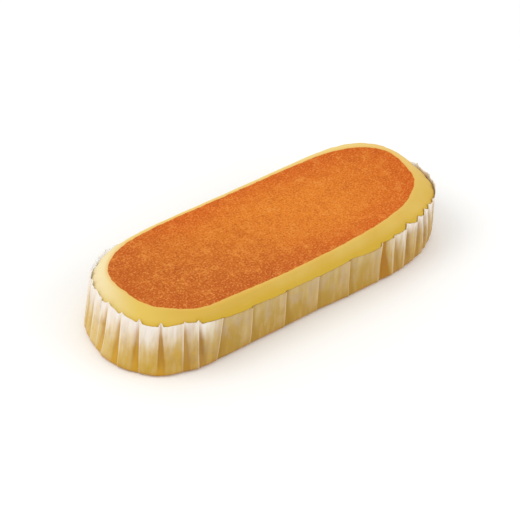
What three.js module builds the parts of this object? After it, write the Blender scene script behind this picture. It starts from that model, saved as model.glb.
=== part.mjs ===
// An oblong banana sponge cake in the pleated paper case that it was baked in.
//
// Millimetres, +Z up. The origin is under the middle of the case's floor, +X runs along the cake
// and the near long side faces -Y. Two solids: the sponge, with its flat browned top, and the
// paper case, whose wall is folded into tucks round the ends and into lapped panels on the sides.
// Distances "along" are measured on the case's outline, anticlockwise from the middle of the
// near side.

import * as THREE from 'three';
import { mergeVertices } from 'three/addons/utils/BufferGeometryUtils.js';

// Case: outline at its widest, just above the floor
const caseHalfLength = 75.4;
const caseHalfWidth = 27.4;
const caseEndReach = 38;
const caseEndPower = 2.6;

// Case: paper, floor and rim
const paper = 0.35;
const baseRound = 2.8;
const rimAtSides = 17.0;
const rimAtEnds = 22.7;
const rimRiseStart = 26;
const rimRiseEnd = 60;
const leanAtEnds = 2.5;
const leanAtSides = 0.9;

// Sponge: the flat top, and the width of the pale shoulder between the browned part's edge and the
// case's outline, at even steps along the outline from the middle of the near side
const cakeHeight = 24.6;
const shoulderWidths = [
  3.0, 3.3, 4.6, 7.2, 9.5, 8.5, 6.2, 5.7, 4.9, 4.3, 4.2,
  4.2, 4.1, 4.2, 5.2, 7.4, 9.2, 10.1, 9.0, 4.9, 3.9, 2.9,
];

// Sponge: side and shoulder, which meets the paper a little below the rim
const clearance = 0.3;
const foldReach = 2.5;
const foldFade = 6.5;
const chordSag = 0.1;
const shoulderBelowRim = 1.2;
const shoulderPower = 2.5;
const cakeColumns = 144;

// Folds in the wall. A tuck is a pinched gap that widens towards the floor, and a lap is a panel
// whose edge lies over the next one.
const tuckDepth = 1.1;
const tuckWidthAtRim = 0.7;
const tuckWidthAtFloor = 2.5;
const tuckEdge = 0.4;
const tuckSlope = 1.3;
const tuckCrest = 0.3;
const lapStep = 0.5;
const lapEdge = 0.5;
const lapSlope = 0.3;
const lapSlopeDepth = 0.45;
const rimPoint = 0.6;
const depthAtFloor = 0.4;
const fullDepthShare = 0.4;

// The near side's folds: distance along, kind, the side of the line that a tuck opens on (0 for
// both), depth against the usual, sideways run up to the rim, and how far the rim stands above its
// usual height just before and just after the fold
const nearFolds = [
  [-99.6, 'tuck', -1, 0.8, -1.2, 0.0, 0.1],
  [-90.8, 'tuck', -1, 0.9, -0.5, 0.3, 0.4],
  [-83.0, 'tuck', -1, 1.0, -1.0, 0.2, 0.4],
  [-74.6, 'tuck', -1, 1.1, -1.0, -0.2, -0.5],
  [-66.5, 'tuck', 0, 1.2, -1.0, -0.4, -0.4],
  [-58.4, 'tuck', 1, 0.5, -0.6, 0.1, 0.7],
  [-52.4, 'tuck', 1, 1.0, -0.8, -0.3, -1.0],
  [-43.5, 'lap', 1, 2.0, 2.2, -0.4, -0.6],
  [-28.9, 'lap', 1, 1.0, 0.3, 0.7, 1.2],
  [-13.1, 'lap', 1, 1.1, 0.2, 0.0, 0.5],
  [2.5, 'lap', 1, 1.0, 0.0, 0.2, -0.2],
  [17.7, 'lap', 1, 0.9, -0.4, 0.4, 0.7],
  [32.7, 'lap', 1, 1.9, 0.8, -0.9, 0.5],
  [39.6, 'tuck', 1, 0.6, -0.8, -0.4, 0.5],
  [46.0, 'tuck', 1, 1.0, -1.0, -1.2, 0.8],
  [52.7, 'tuck', 1, 0.9, -1.0, -1.7, -0.6],
  [59.8, 'tuck', 1, 0.8, -1.0, -1.6, -0.6],
  [66.4, 'tuck', 1, 1.0, -0.8, -0.8, -0.2],
];

// The far side's folds follow the same spacing, a little unevenly
const endPitch = 7.6;
const sidePitch = 15.4;
const pitchJitter = 0.12;
const farSideStart = 140;
const farSideEnd = 222;
const farRimJitter = 0.5;
const foldSeed = 41;

const outlineSteps = 1440;
const tinyLength = 1e-4;

function smoothStep(from, to, value) {
  const t = THREE.MathUtils.clamp((value - from) / (to - from), 0, 1);
  return t * t * (3 - 2 * t);
}

// A point and outward normal at any distance along the case's outline
function makeOutline() {
  const straight = caseHalfLength - caseEndReach;
  const power = 2 / caseEndPower;
  const quarterAt = (t) => (t < 0.5
    ? [straight * t * 2, caseHalfWidth]
    : [
      straight + caseEndReach * Math.sin((t - 0.5) * Math.PI) ** power,
      caseHalfWidth * Math.max(Math.cos((t - 0.5) * Math.PI), 0) ** power,
    ]);
  const points = [];
  for (let i = 0; i < outlineSteps; i += 1) {
    const turn = (4 * i) / outlineSteps;
    const quarter = Math.floor(turn);
    const part = turn - quarter;
    const [x, y] = quarterAt(quarter % 2 ? 1 - part : part);
    points.push([quarter < 2 ? x : -x, quarter % 3 === 0 ? -y : y]);
  }
  const distances = [0];
  for (let i = 1; i <= points.length; i += 1) {
    const [a, b] = [points[i - 1], points[i % points.length]];
    distances.push(distances[i - 1] + Math.hypot(b[0] - a[0], b[1] - a[1]));
  }
  const length = distances[points.length];
  const pointAt = (along) => {
    const place = THREE.MathUtils.euclideanModulo(along, length);
    let low = 0;
    let high = points.length;
    while (high - low > 1) {
      const middle = (low + high) >> 1;
      if (distances[middle] <= place) {
        low = middle;
      } else {
        high = middle;
      }
    }
    const share = (place - distances[low]) / Math.max(distances[high] - distances[low], tinyLength);
    const [a, b] = [points[low], points[high % points.length]];
    return [a[0] + (b[0] - a[0]) * share, a[1] + (b[1] - a[1]) * share];
  };
  const normalSpan = 0.8;
  const at = (along) => {
    const [x, y] = pointAt(along);
    const [bx, by] = pointAt(along - normalSpan);
    const [cx, cy] = pointAt(along + normalSpan);
    const size = Math.hypot(cx - bx, cy - by);
    return { x, y, nx: (cy - by) / size, ny: -(cx - bx) / size };
  };
  return { length, at };
}

const outline = makeOutline();

function rimHeight(place) {
  const rise = smoothStep(rimRiseStart, rimRiseEnd, Math.abs(place.x));
  return rimAtSides + (rimAtEnds - rimAtSides) * rise;
}

// How far the wall stands in from the outline at a height: the rounded base, then the lean
function wallInset(place, z) {
  const low = Math.max(baseRound - z, 0);
  const round = baseRound - Math.sqrt(Math.max(baseRound ** 2 - low ** 2, 0));
  const lean = leanAtEnds + (leanAtSides - leanAtEnds) * place.ny ** 2;
  return round + (lean * z) / rimHeight(place);
}

function seededRandom(seed) {
  let state = seed;
  return () => {
    state = (state * 1103515245 + 12345) % 2147483648;
    return state / 2147483648;
  };
}

function makeFolds() {
  const folds = nearFolds.map(([along, kind, side, strength, slant, rimBefore, rimAfter]) => (
    { along, kind, side, strength, slant, rimBefore, rimAfter }));
  const random = seededRandom(foldSeed);
  const last = outline.length + nearFolds[0][0] - endPitch * 0.7;
  let along = nearFolds[nearFolds.length - 1][0];
  while (true) {
    const onSide = along + endPitch > farSideStart && along < farSideEnd;
    const pitch = onSide ? sidePitch : endPitch;
    along += pitch * (1 + pitchJitter * (2 * random() - 1));
    if (along > last) {
      break;
    }
    folds.push({
      along,
      kind: onSide ? 'lap' : 'tuck',
      side: along < farSideEnd ? 1 : -1,
      strength: 0.7 + 0.5 * random(),
      slant: random() - 0.5,
      rimBefore: farRimJitter * (random() - 1),
      rimAfter: farRimJitter * random(),
    });
  }
  return folds;
}

// The wall's columns: each has a distance along and an offset outwards that change with the share
// of the wall's height, the rim's height against the usual, and a lift of the rim's edge
function makeColumns(folds) {
  const columns = [];
  const depthShare = (share) => depthAtFloor
    + (1 - depthAtFloor) * smoothStep(0, fullDepthShare, share);
  const crest = (share) => tuckCrest * smoothStep(0.6, 1, share);
  const floor = () => -tuckDepth;
  const width = (share) => tuckWidthAtFloor + (tuckWidthAtRim - tuckWidthAtFloor) * share;
  const place = (fold, share) => fold.along + fold.slant * (share - 0.5);
  // Where a fold starts and ends: a tuck's gap with its two flanks, or a lap's edge with its slope
  const gapStart = (fold, share) => place(fold, share) + width(share) * (fold.side - 1) * 0.5;
  const foldStart = (fold, share) => (fold.kind === 'lap'
    ? place(fold, share)
    : gapStart(fold, share) - (fold.side < 0 ? tuckSlope : tuckEdge));
  const foldEnd = (fold, gap, share) => (fold.kind === 'lap'
    ? place(fold, share) + gap * lapSlope
    : gapStart(fold, share) + width(share) + (fold.side > 0 ? tuckSlope : tuckEdge));
  folds.forEach((fold, i) => {
    const next = folds[(i + 1) % folds.length];
    const gap = THREE.MathUtils.euclideanModulo(next.along - fold.along, outline.length);
    const { kind, strength, rimBefore, rimAfter } = fold;
    const rimAt = (part) => rimAfter + (next.rimBefore - rimAfter) * part;
    const add = (along, offset, rim, lift) => columns.push({
      along,
      offset: (share) => offset(share) * depthShare(share) * strength,
      rim,
      lift,
    });
    const start = (share) => foldStart(fold, share);
    const end = (share) => foldEnd(fold, gap, share);
    if (kind === 'tuck') {
      const middleRim = (rimBefore + rimAfter) / 2;
      const point = rimPoint * strength;
      add(start, crest, rimBefore, point);
      add((share) => gapStart(fold, share) + width(share) * 0.15, floor, middleRim, 0);
      add((share) => gapStart(fold, share) + width(share) * 0.85, floor, middleRim, 0);
      add(end, crest, rimAfter, point);
    } else {
      add(start, () => 0, rimBefore, rimPoint);
      add((share) => start(share) + lapEdge, () => -lapStep, rimAfter, 0);
      add(end, () => -lapStep * lapSlopeDepth, rimAt(lapSlope), 0);
    }
    const nextStart = (share) => foldStart(next, share) + gap + fold.along - next.along;
    add((share) => (end(share) + nextStart(share)) / 2, () => 0, rimAt(0.5), 0);
  });
  return columns;
}

// Closes rings of equal length into one body: quads between rings, a flat cap facing down on the
// first and one facing up on the last
function loftRings(rings) {
  const count = rings[0].length;
  const positions = rings.flat().flatMap(([x, y, z]) => [x, y, z]);
  const indices = [];
  for (let r = 0; r + 1 < rings.length; r += 1) {
    for (let c = 0; c < count; c += 1) {
      const d = (c + 1) % count;
      const [a, b, e, f] = [r * count + c, r * count + d, (r + 1) * count + c, (r + 1) * count + d];
      indices.push(a, b, f, a, f, e);
    }
  }
  const addCap = (ringIndex, facesUp) => {
    const contour = rings[ringIndex].map(([x, y]) => new THREE.Vector2(x, y));
    const start = ringIndex * count;
    THREE.ShapeUtils.triangulateShape(contour, []).forEach(([a, b, c]) => {
      const [p, q, s] = [contour[a], contour[b], contour[c]];
      const turn = (q.x - p.x) * (s.y - p.y) - (q.y - p.y) * (s.x - p.x);
      const kept = turn > 0 === facesUp;
      indices.push(start + a, start + (kept ? b : c), start + (kept ? c : b));
    });
  };
  addCap(0, false);
  addCap(rings.length - 1, true);
  const geometry = new THREE.BufferGeometry();
  geometry.setAttribute('position', new THREE.Float32BufferAttribute(positions, 3));
  geometry.setIndex(indices);
  const merged = mergeVertices(geometry, tinyLength);
  merged.computeVertexNormals();
  return merged;
}

// Paper case: up the outside from the floor to the rim, over the edge and down the inside
function buildCase(columns) {
  const roundShares = [0, Math.PI / 4, Math.PI / 2];
  const wallShares = [0.42, 0.62, 0.82, 1];
  const ringAt = (height, inwards) => columns.map((column) => {
    const usual = rimHeight(outline.at(column.along(0.5)));
    const share = height.share ?? height.z / (usual + column.rim);
    const place = outline.at(column.along(share));
    const lift = column.lift * smoothStep(0.85, 1, share);
    const z = height.z ?? (rimHeight(place) + column.rim) * share + lift;
    const offset = column.offset(share) - wallInset(place, z) - inwards;
    return [place.x + place.nx * offset, place.y + place.ny * offset, Math.max(z, inwards)];
  });
  const heights = [
    ...roundShares.map((angle) => ({ z: baseRound * (1 - Math.cos(angle)) })),
    ...wallShares.map((share) => ({ share })),
  ];
  const outer = heights.map((height) => ringAt(height, 0));
  const inner = heights.map((height) => ringAt(height, paper)).reverse();
  return loftRings([...outer, ...inner]);
}

// The width of the pale shoulder at any distance along, on a smooth curve through the given ones
function shoulderWidth(along) {
  const count = shoulderWidths.length;
  const place = THREE.MathUtils.euclideanModulo((along / outline.length) * count, count);
  const first = Math.floor(place);
  const t = place - first;
  const [a, b, c, d] = [-1, 0, 1, 2].map((step) => shoulderWidths[(first + step + count) % count]);
  return b + 0.5 * t * (c - a + t * (2 * a - 5 * b + 4 * c - d + t * (3 * (b - c) + d - a)));
}

// The edge of the browned top, on the spoke from the outline in to the cake's spine
function crustEdge(place) {
  const spine = caseHalfLength - caseHalfWidth;
  const root = THREE.MathUtils.clamp(place.x, -spine, spine);
  const share = place.width / Math.hypot(place.x - root, place.y);
  return [place.x + (root - place.x) * share, place.y * (1 - share)];
}

// How far the folds near a place reach into the case
function foldDepthNear(columns, along) {
  const half = outline.length / 2;
  return columns.reduce((deepest, column) => {
    const turn = THREE.MathUtils.euclideanModulo(column.along(0.5) - along + half, outline.length);
    const fade = 1 - smoothStep(foldReach, foldFade, Math.abs(turn - half));
    return Math.max(deepest, -column.offset(0.5) * fade);
  }, 0);
}

// Sponge: rounded base, side just inside the folds, shoulder up to the edge of the flat top
function buildCake(columns) {
  const floorZ = paper + clearance;
  const places = Array.from({ length: cakeColumns }, (_, i) => {
    const along = (i * outline.length) / cakeColumns;
    const room = foldDepthNear(columns, along) + paper + clearance + chordSag;
    return { ...outline.at(along), room, width: shoulderWidth(along) };
  });
  const sidePoint = (place, z) => {
    const inset = wallInset(place, Math.max(z - floorZ, 0)) + place.room;
    return [place.x - place.nx * inset, place.y - place.ny * inset, z];
  };
  const sideRing = (z) => places.map((place) => sidePoint(place, z));
  const shoulderRing = (angle) => places.map((place) => {
    const [x, y, z] = sidePoint(place, rimHeight(place) - shoulderBelowRim);
    const [ex, ey] = crustEdge(place);
    const out = Math.max(Math.cos(angle), 0) ** (2 / shoulderPower);
    const up = Math.sin(angle) ** (2 / shoulderPower);
    return [ex + (x - ex) * out, ey + (y - ey) * out, z + (cakeHeight - z) * up];
  });
  const roundSteps = [0, 0.3, 0.65, 1];
  const middleHeight = cakeHeight * 0.35;
  const shoulderSteps = [0, 12, 28, 45, 62, 76, 90];
  const rings = [
    ...roundSteps.map((step) => sideRing(floorZ + baseRound * (1 - Math.cos((step * Math.PI) / 2)))),
    sideRing(middleHeight),
    ...shoulderSteps.map((degrees) => shoulderRing(THREE.MathUtils.degToRad(degrees))),
  ];
  return loftRings(rings);
}

const spongeMaterial = new THREE.MeshStandardMaterial({
  name: 'banana_sponge',
  color: new THREE.Color(0xd9742f),
  roughness: 0.8,
  metalness: 0,
  flatShading: true,
});

const paperMaterial = new THREE.MeshStandardMaterial({
  name: 'baking_paper',
  color: new THREE.Color(0xe6d9b4),
  roughness: 0.6,
  metalness: 0,
  flatShading: true,
});

function namedMesh(name, geometry, material) {
  const mesh = new THREE.Mesh(geometry, material);
  mesh.name = name;
  return mesh;
}

const bananaCake = new THREE.Group();
bananaCake.name = 'banana_cake';
const wallColumns = makeColumns(makeFolds());
bananaCake.add(namedMesh('cake', buildCake(wallColumns), spongeMaterial));
bananaCake.add(namedMesh('paper_case', buildCase(wallColumns), paperMaterial));

export default bananaCake;
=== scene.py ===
import math

import bmesh
import bpy
import numpy as np
from mathutils import Matrix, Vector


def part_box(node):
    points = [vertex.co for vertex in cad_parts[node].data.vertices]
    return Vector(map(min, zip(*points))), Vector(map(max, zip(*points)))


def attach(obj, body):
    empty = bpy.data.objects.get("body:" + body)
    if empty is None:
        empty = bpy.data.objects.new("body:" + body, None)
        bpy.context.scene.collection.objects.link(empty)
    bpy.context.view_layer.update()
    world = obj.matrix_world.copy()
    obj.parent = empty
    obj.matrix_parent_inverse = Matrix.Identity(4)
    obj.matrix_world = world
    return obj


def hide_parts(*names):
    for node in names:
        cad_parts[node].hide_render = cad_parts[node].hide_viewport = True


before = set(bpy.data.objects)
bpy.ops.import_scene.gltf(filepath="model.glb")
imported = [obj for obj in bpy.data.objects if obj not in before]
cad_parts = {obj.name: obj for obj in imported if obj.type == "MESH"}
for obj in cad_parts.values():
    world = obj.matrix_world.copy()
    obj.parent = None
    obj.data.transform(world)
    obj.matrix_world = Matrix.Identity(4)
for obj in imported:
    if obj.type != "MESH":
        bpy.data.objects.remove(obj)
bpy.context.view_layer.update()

# An oblong banana sponge cake in its pleated paper case. Form is worked out in millimetres and
# made in metres. "along" runs round the case anticlockwise from the middle of the near side.
mm = 0.001
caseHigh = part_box("paper_case")[1]
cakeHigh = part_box("cake")[1]


def ease(value, low, high):
    t = np.clip((value - low) / (high - low), 0, 1)
    return t * t * (3 - 2 * t)


def colour(word):
    # a colour as seen on a screen, such as "e0a050", in the linear values that shaders use
    parts = [int(word[i:i + 2], 16) / 255 for i in (0, 2, 4)]
    return tuple(p / 12.92 if p <= 0.04045 else ((p + 0.055) / 1.055) ** 2.4 for p in parts) + (1.0,)


class Wires:
    # short calls for wiring a node tree, the same in shader and geometry trees

    def __init__(self, tree):
        self.tree = tree

    def node(self, kind, **settings):
        made = self.tree.nodes.new(kind)
        for name, value in settings.items():
            setattr(made, name, value)
        return made

    def feed(self, socket, value):
        if isinstance(value, bpy.types.NodeSocket):
            self.tree.links.new(value, socket)
        else:
            socket.default_value = value

    def sums(self, operation, *values):
        made = self.node("ShaderNodeMath", operation=operation)
        for socket, value in zip(made.inputs, values):
            self.feed(socket, value)
        return made.outputs[0]

    def plus(self, first, *others):
        for other in others:
            first = self.sums("ADD", first, other)
        return first

    def times(self, first, *others):
        for other in others:
            first = self.sums("MULTIPLY", first, other)
        return first

    def minus(self, first, second):
        return self.sums("SUBTRACT", first, second)

    def ease(self, value, low, high, toLow=0.0, toHigh=1.0):
        made = self.node("ShaderNodeMapRange", interpolation_type="SMOOTHSTEP")
        for socket, item in zip(made.inputs, (value, low, high, toLow, toHigh)):
            self.feed(socket, item)
        return made.outputs[0]

    def vector(self, x, y, z):
        made = self.node("ShaderNodeCombineXYZ")
        for socket, item in zip(made.inputs, (x, y, z)):
            self.feed(socket, item)
        return made.outputs[0]

    def parts(self, vector):
        made = self.node("ShaderNodeSeparateXYZ")
        self.feed(made.inputs[0], vector)
        return made.outputs

    def noise(self, vector, scale, detail=2.0, roughness=0.5):
        made = self.node("ShaderNodeTexNoise")
        self.feed(made.inputs["Vector"], vector)
        made.inputs["Scale"].default_value = scale
        made.inputs["Detail"].default_value = detail
        made.inputs["Roughness"].default_value = roughness
        return made.outputs[0]

    def named(self, name, kind="FLOAT"):
        made = self.node("GeometryNodeInputNamedAttribute", data_type=kind)
        made.inputs["Name"].default_value = name
        return made.outputs[0]

    def store(self, geometry, name, value, kind="FLOAT"):
        made = self.node("GeometryNodeStoreNamedAttribute", data_type=kind, domain="POINT")
        self.feed(made.inputs["Geometry"], geometry)
        made.inputs["Name"].default_value = name
        self.feed(made.inputs["Value"], value)
        return made.outputs[0]

    def finish(self, geometry, material):
        # ends a geometry tree: real mesh, with its material
        whole = self.node("GeometryNodeRealizeInstances")
        self.feed(whole.inputs[0], geometry)
        skin = self.node("GeometryNodeSetMaterial")
        self.feed(skin.inputs["Geometry"], whole.outputs[0])
        self.feed(skin.inputs["Material"], material)
        self.feed(self.node("NodeGroupOutput").inputs[0], skin.outputs[0])

    def mix(self, share, first, second, blend="MIX"):
        made = self.node("ShaderNodeMix", data_type="RGBA", blend_type=blend)
        self.feed(made.inputs[0], share)
        self.feed(made.inputs[6], first)
        self.feed(made.inputs[7], second)
        return made.outputs[2]

    def tone(self, values, given):
        # a colour, or a value's name and the two colours that it mixes
        if isinstance(given, str):
            return colour(given)
        return self.mix(values[given[0]], colour(given[1]), colour(given[2]))

    def laid(self, base, values, layers):
        # lays tones over a base, each with its share and the values, or spans of them, that it lies in
        for tone, share, *places in layers:
            held = [values[p] if isinstance(p, str) else self.ease(values[p[0]], *p[1:]) for p in places]
            base = self.mix(self.times(*held, share), base, self.tone(values, tone))
        return base


oval = {
    # the wall leans in, so the solid's box is a little smaller than the outline
    "halfLength": caseHigh.x / mm + 0.31,
    "halfWidth": caseHigh.y / mm + 0.13,
    "endReach": 38.0,
    "endPower": 2.6,
    "steps": 1440,
    # the far left corner is drawn in, over these spans of -x and y
    "farLeftTrim": 0.7,
    "trimFromX": (40, 70),
    "trimFromY": (-10, 15),
    # reach of the chord that gives the outline's direction
    "chord": 0.8,
}


def ovalOutline():
    straight = oval["halfLength"] - oval["endReach"]
    power = 2 / oval["endPower"]
    turn = np.arange(oval["steps"]) * 4 / oval["steps"]
    quarter = np.floor(turn).astype(int)
    part = turn - quarter
    t = np.where(quarter % 2 == 1, 1 - part, part)
    bend = np.clip(t - 0.5, 0, None) * np.pi
    x = np.where(t < 0.5, straight * t * 2, straight + oval["endReach"] * np.sin(bend) ** power)
    y = oval["halfWidth"] * np.clip(np.cos(bend), 0, None) ** power
    x = np.where(quarter < 2, x, -x)
    y = np.where(quarter % 3 == 0, -y, y)
    x += oval["farLeftTrim"] * ease(-x, *oval["trimFromX"]) * ease(y, *oval["trimFromY"])
    return np.stack([x, y], axis=1)


outlinePoints = ovalOutline()
closedOutline = np.vstack([outlinePoints, outlinePoints[:1]])
outlineSteps = np.linalg.norm(np.diff(closedOutline, axis=0), axis=1)
outlineAlong = np.concatenate([[0], np.cumsum(outlineSteps)])
outlineLength = float(outlineAlong[-1])


def placeAt(along):
    # points and outward normals at any distances along the outline
    def pointAt(distance):
        turned = np.mod(distance, outlineLength)
        return np.stack([np.interp(turned, outlineAlong, closedOutline[:, k]) for k in (0, 1)], axis=-1)

    ahead = pointAt(along + oval["chord"]) - pointAt(along - oval["chord"])
    ahead /= np.linalg.norm(ahead, axis=-1, keepdims=True)
    return pointAt(along), np.stack([ahead[..., 1], -ahead[..., 0]], axis=-1)


wall = {
    "baseRound": 2.0,
    "rimAtSides": 17.0,
    "rimAtEnds": 22.7,
    # where the rim rises, away from the cake's middle
    "rimRiseStart": 26.0,
    "rimRiseEnd": 60.0,
    # how far the rim stands further in than the foot
    "leanAtEnds": 2.5,
    "leanAtSides": 0.9,
    # the right end leans less
    "rightLeanLess": 0.4,
    "rightLeanSpan": (55.0, 72.0),
}
# inputs of the folding tree that are given by the wall
wallInputs = {
    "Rim At Sides": "rimAtSides",
    "Rim At Ends": "rimAtEnds",
    "Base Round": "baseRound",
    "Lean At Ends": "leanAtEnds",
    "Lean At Sides": "leanAtSides",
}


def rimHeight(x):
    rise = ease(np.abs(x), wall["rimRiseStart"], wall["rimRiseEnd"])
    return wall["rimAtSides"] + (wall["rimAtEnds"] - wall["rimAtSides"]) * rise


folding = {
    # for each fold: along, kind, side that a tuck opens on (0 for both), depth, sideways run up to the
    # rim, how much higher the rim is before and after it, height of its pinched peak, how dark its
    # valley is, or for a lap how dark its strip of oil and painted shade is, width of the flat strip beside
    # it, and how far its foot is drawn in
    "near": [
        (-119.5, "tuck", 1, 0.4, 0.0, -0.9, -0.7, 0.2, 0.3, 0.0, 0.0),
        (-113.0, "tuck", 1, 0.45, 0.0, -0.3, 0.1, 0.2, 0.3, 0.0, 0.0),
        (-106.6, "tuck", 1, 0.5, 0.0, -0.2, 0.1, 0.2, 0.3, 0.0, 0.0),
        (-99.6, "tuck", -1, 0.8, -1.2, -0.3, 0.3, 0.3, 0.5, 0.0, -0.1),
        (-95.2, "tuck", -1, 0.2, -0.8, -0.6, -1.6, 0.0, 0.2, 0.0, -0.2),
        (-90.8, "tuck", -1, 0.9, -0.5, 0.5, 0.2, 0.4, 0.7, 0.0, -0.9),
        (-83.0, "tuck", -1, 1.0, -1.0, -0.3, 0.4, 0.9, 0.8, 0.0, -0.2),
        (-74.6, "tuck", -1, 1.1, -1.0, -0.2, -0.5, 1.7, 0.7, 0.0, 0.5),
        (-66.5, "tuck", 0, 1.2, -1.0, -0.4, -0.4, 1.4, 0.8, 0.0, -0.4),
        (-58.4, "tuck", 1, 0.5, -0.6, 0.1, 0.7, 0.3, 0.7, 0.0, 0.3),
        (-52.4, "tuck", 1, 1.0, -0.8, -0.3, -1.0, 1.0, 0.65, 0.0, -0.3),
        (-43.5, "lap", 1, 2.0, 2.2, -0.4, -0.6, 0.2, 0.6, 0.0, 0.3),
        (-28.9, "lap", 1, 1.0, 0.3, 0.7, 1.2, 0.0, 0.5, 0.0, 0.45),
        (-13.1, "lap", 1, 1.1, 0.2, 0.0, 0.5, 0.2, 0.65, 0.0, 0.3),
        (2.5, "lap", 1, 1.0, 0.0, 0.2, -0.2, 0.0, 0.45, 0.0, 0.45),
        (17.7, "lap", 1, 0.9, -0.4, 0.4, 0.7, 0.0, 0.55, 0.0, -0.3),
        (32.7, "lap", 1, 1.9, 0.8, -1.2, 0.5, 0.5, 1.3, 0.8, -0.35),
        (39.6, "tuck", 1, 0.6, -0.8, -0.7, 0.3, 0.1, 0.6, 0.6, -0.3),
        (45.7, "tuck", 1, 1.0, -0.6, -1.5, 1.4, 0.3, 0.65, 0.5, 0.0),
        (52.2, "tuck", 1, 0.9, -0.5, -2.6, 0.1, 0.3, 0.6, 0.4, 0.45),
        (57.3, "tuck", 1, 0.9, -2.4, -2.3, 0.8, 0.2, 0.6, 0.3, 0.6),
        (61.0, "tuck", 1, 0.7, -3.6, -1.2, 1.0, 0.2, 0.5, 0.2, 0.8),
        (65.4, "tuck", 1, 0.8, -3.6, -0.8, 0.5, 0.2, 0.6, 0.0, 0.8),
    ],
    # the folds that the photo hardly shows follow by rule from here on, round the far side
    "hiddenFrom": 66.4,
    "endPitch": 7.6,
    "sidePitch": 15.4,
    "pitchJitter": 0.12,
    "lastPitch": 0.7,
    "hiddenPower": 0.7,
    "powerChange": 0.5,
    "farEndStart": 94.0,
    "farSideStart": 140.0,
    "farSideEnd": 222.0,
    "farRimJitter": 0.5,
    # their rim is higher before the far end, lower on it, and lower after the far side
    "rightTipRise": 0.3,
    "farEndDrop": 1.4,
    "farLeftDrop": 0.5,
    "farLeftPower": 0.45,
    # the tucks between these two stay open at the rim
    "looseFrom": -122.0,
    "looseTo": -104.0,
    "farPeak": 0.5,
    "farShade": 0.7,
    # for even draws that are the same in each run
    "seed": 41.0,
    "drawFactor": 1103515245.0,
    "drawStep": 12345.0,
    "drawLimit": 2147483648.0,
}


def listFolds():
    names = ("along", "kind", "side", "power", "slant", "rimBefore", "rimAfter",
             "peak", "shade", "strip", "foot")
    found = [dict(zip(names, row)) for row in folding["near"]]
    state = folding["seed"]

    def draw():
        nonlocal state
        state = (state * folding["drawFactor"] + folding["drawStep"]) % folding["drawLimit"]
        return state / folding["drawLimit"]

    last = outlineLength + found[0]["along"] - folding["endPitch"] * folding["lastPitch"]
    along = folding["hiddenFrom"]
    while True:
        onSide = folding["farSideStart"] < along + folding["endPitch"] and along < folding["farSideEnd"]
        pitch = folding["sidePitch"] if onSide else folding["endPitch"]
        along += pitch * (1 + folding["pitchJitter"] * (2 * draw() - 1))
        if along > last:
            return found
        side = 1 if along < folding["farSideEnd"] else -1
        row = [along, "lap" if onSide else "tuck", side]
        row += [folding["hiddenPower"] + folding["powerChange"] * draw(), draw() - 0.5]
        row += [folding["farRimJitter"] * (draw() - 1), folding["farRimJitter"] * draw()]
        if along < folding["farEndStart"]:
            row[5:] = [height + folding["rightTipRise"] for height in row[5:]]
        if along > folding["farSideEnd"]:
            row[5:] = [height - folding["farLeftDrop"] for height in row[5:]]
            row[3] *= folding["farLeftPower"]
        if folding["farEndStart"] < along < folding["farSideStart"]:
            row[5:] = [height - folding["farEndDrop"] for height in row[5:]]
        row += [folding["farPeak"] * row[3], folding["farShade"], 0.0, 0.0]
        found.append(dict(zip(names, row)))


folds = listFolds()
print("folds in the case:", len(folds))

paperCase = {
    # the folding tree's own inputs
    "Across Steps": 30,
    "Rise Steps": 36,
    "Tuck Depth": 1.1,
    "Tuck Width At Rim": 0.25,
    "Tuck Width At Floor": 2.7,
    "Rim Closing": 0.8,
    "Crest Height": 0.25,
    "Edge Height": 0.15,
    "Lap Step": 0.5,
    "Panel Swell": 0.12,
    "Rim Wave": 0.5,
    "Rim Wave Size": 2.6,
    "Crinkle": 0.22,
    "Seed": 3.0,
    # width of a valley's slope on its open side and on its sharp one
    "slope": 1.3,
    "sharpSlope": 0.4,
    # the raised edge of a fold, into a valley and on the panel's side
    "edgeReachIn": 0.3,
    "edgeReach": 0.9,
    "thickness": 0.09,
}

foldShape = {
    # in millimetres away from the fold's line
    "stripEdge": 0.25,
    "ridgeReach": 1.5,
    "peakSpan": (0.1, 1.2),
    "edgeStart": 0.1,
    "shadeEdge": 0.3,
    "shadeReach": 3.8,
    "shadeShare": 0.4,
    "lapEdge": 0.3,
    # a lap's step runs out over this share of its panel
    "lapReach": 0.8,
    # the strip of oil and painted shade beside a lap, and its soft edge, at the floor and at the rim
    "lapStrip": (2.4, 0.2),
    "lapSoftEdge": (3.6, 1.8),
    # as shares of the way up the wall
    "roundRows": 0.14,
    "deepening": (0.0, 0.4, 0.15, 1.0),
    "closing": (0.55, 0.97),
    "upperHalf": (0.5, 1.0),
    "peakRise": (0.85, 1.0),
    "footSpan": (0.4, 0.0),
    # noise
    "waveDetail": 2.0,
    "crinkleAcross": 0.5,
    "crinkleUp": 0.06,
    "crinkleDetail": 3.0,
    "mergeWithin": 0.01,
}


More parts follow.
